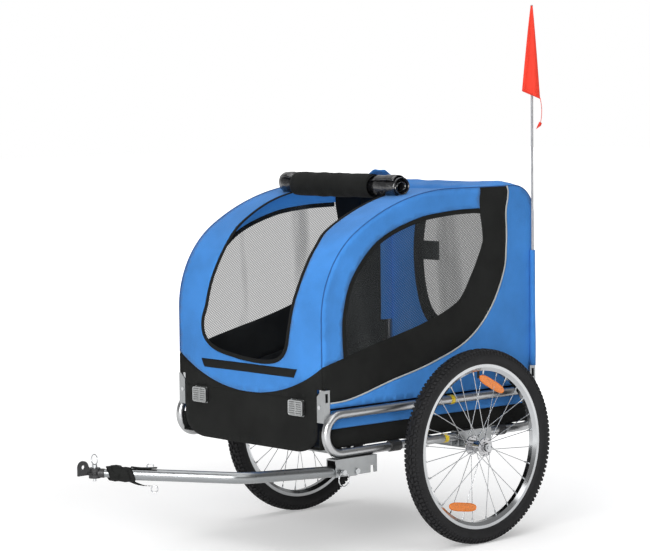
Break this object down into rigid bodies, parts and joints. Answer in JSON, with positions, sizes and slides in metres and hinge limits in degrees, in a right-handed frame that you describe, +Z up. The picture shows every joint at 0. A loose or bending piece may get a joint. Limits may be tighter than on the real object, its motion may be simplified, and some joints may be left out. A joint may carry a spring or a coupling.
{
  "type": "dog bike trailer",
  "caption": "Two-wheeled fabric dog trailer on a folding tube frame, with mesh windows, a roll-up front door, a bent side tow arm with an axle hitch and a safety flag.",
  "frame": {"origin": "on the ground, midway along the overall length and width", "axes": "+X towards the left side with the tow arm, -Y towards the front and the bicycle, +Z up"},
  "size_m": [0.7678, 1.3205, 1.376],
  "materials": {
    "tyre_rubber": "moulded tread, matt",
    "tube_rubber": "smooth",
    "rim_alloy": "polished",
    "spoke_steel": "bright wire",
    "hub_steel": "bright plated",
    "bearing_steel": "ground",
    "amber_plastic": "prismatic",
    "bolt_steel": "zinc plated",
    "black_plastic": "moulded",
    "yellow_plastic": "tape",
    "frame_tube": "bright zinc plated tube",
    "bracket_steel": "pressed sheet",
    "blue_fabric": "woven coated polyester",
    "black_mesh": "open net",
    "black_fabric": "woven coated polyester",
    "floor_panel": "stiffened panel",
    "clear_reflector": "ribbed prismatic",
    "black_webbing": "webbing",
    "hitch_black": "black coated",
    "white_pole": "smooth fibreglass",
    "red_fabric": "thin coated cloth"
  },
  "bodies": {
    "frame": {"frame_loop_left": "frame_tube", "frame_loop_right": "frame_tube", "tube_sleeves": "black_plastic", "marker_bands": "yellow_plastic", "front_cross_tube": "frame_tube", "rear_cross_tube": "frame_tube", "axle_tube": "frame_tube", "axle_bracket_left": "bracket_steel", "axle_bracket_right": "bracket_steel", "hinge_brackets": "bracket_steel", "hinge_rivets": "bolt_steel", "tub": "black_fabric", "floor_board": "floor_panel", "front_reflectors": "clear_reflector", "front_cover": "blue_fabric", "rear_cover": "blue_fabric", "rear_mesh": "black_mesh", "door_roll": "black_fabric", "tow_channel": "bracket_steel", "tow_pivot_bolt": "bolt_steel", "flag_pocket": "blue_fabric"},
    "side_left": {"side_hoop_left": "frame_tube", "side_panel_left": "blue_fabric", "window_mesh_left": "black_mesh"},
    "axle_unit_left": {"axle_left": "bolt_steel"},
    "wheel_left": {"tyre_left": "tyre_rubber", "inner_tube_left": "tube_rubber", "rim_left": "rim_alloy", "spokes_left": "spoke_steel", "hub_left": "hub_steel", "hub_bearings_left": "bearing_steel", "wheel_reflectors_left": "amber_plastic"},
    "button_left": {"release_button_left": "black_plastic"},
    "side_right": {"side_hoop_right": "frame_tube", "side_panel_right": "blue_fabric", "window_mesh_right": "black_mesh"},
    "axle_unit_right": {"axle_right": "bolt_steel"},
    "wheel_right": {"tyre_right": "tyre_rubber", "inner_tube_right": "tube_rubber", "rim_right": "rim_alloy", "spokes_right": "spoke_steel", "hub_right": "hub_steel", "hub_bearings_right": "bearing_steel", "wheel_reflectors_right": "amber_plastic"},
    "button_right": {"release_button_right": "black_plastic"},
    "tow_arm": {"tow_arm_tube": "frame_tube", "tow_end_rod": "frame_tube", "safety_strap": "black_webbing", "strap_ring": "bolt_steel"},
    "lock_pin": {"tow_lock_pin": "bolt_steel"},
    "knuckle": {"hitch_knuckle": "hitch_black"},
    "hitch": {"hitch_plate": "hitch_black"},
    "hitch_pin_body": {"hitch_pin": "bolt_steel"},
    "flag": {"flag_pole": "white_pole", "flag_cloth": "red_fabric"}
  },
  "joints": [
    {"name": "side_left_fold", "type": "hinge", "parent": "frame", "child": "side_left", "pos_m": [0.2671, 0.37303, 0.388], "axis": [0, -1, 0], "range_deg": [0, 90], "deforming": ["front_cover", "rear_cover", "rear_mesh", "door_roll"]},
    {"name": "side_right_fold", "type": "hinge", "parent": "frame", "child": "side_right", "pos_m": [-0.2671, 0.37303, 0.388], "axis": [0, 1, 0], "range_deg": [0, 66]},
    {"name": "wheel_left_release", "type": "slide", "parent": "frame", "child": "axle_unit_left", "axis": [1, 0, 0], "range_m": [0, 0.1]},
    {"name": "wheel_left_spin", "type": "hinge", "parent": "axle_unit_left", "child": "wheel_left", "pos_m": [0.3465, 0.37303, 0.25], "axis": [1, 0, 0], "continuous": true},
    {"name": "release_left_press", "type": "slide", "parent": "axle_unit_left", "child": "button_left", "axis": [-1, 0, 0], "range_m": [0, 0.0028], "stiffness_N_per_m": 900, "springref_m": -0.002},
    {"name": "wheel_right_release", "type": "slide", "parent": "frame", "child": "axle_unit_right", "axis": [-1, 0, 0], "range_m": [0, 0.1]},
    {"name": "wheel_right_spin", "type": "hinge", "parent": "axle_unit_right", "child": "wheel_right", "pos_m": [-0.3465, 0.37303, 0.25], "axis": [-1, 0, 0], "continuous": true},
    {"name": "release_right_press", "type": "slide", "parent": "axle_unit_right", "child": "button_right", "axis": [1, 0, 0], "range_m": [0, 0.0028], "stiffness_N_per_m": 900, "springref_m": -0.002},
    {"name": "tow_arm_fold", "type": "hinge", "parent": "frame", "child": "tow_arm", "pos_m": [0.285, -0.00997, 0.226], "axis": [1, 0, 0], "range_deg": [0, 165]},
    {"name": "lock_pin_pull", "type": "slide", "parent": "tow_arm", "child": "lock_pin", "axis": [1, 0, 0], "range_m": [0, 0.06]},
    {"name": "hitch_roll", "type": "hinge", "parent": "tow_arm", "child": "knuckle", "pos_m": [0.05416, -0.59406, 0.26045], "axis": [-0.6953, -0.7175, 0.0419], "continuous": true},
    {"name": "hitch_swing", "type": "hinge", "parent": "knuckle", "child": "hitch", "pos_m": [0.03747, -0.61128, 0.26146], "axis": [0, 0, 1], "range_deg": [-45, 45]},
    {"name": "hitch_pin_pull", "type": "slide", "parent": "knuckle", "child": "hitch_pin_body", "axis": [0, 0, 1], "range_m": [0, 0.045]},
    {"name": "flag_lift", "type": "slide", "parent": "frame", "child": "flag", "axis": [0, 0, 1], "range_m": [0, 0.33]}
  ]
}
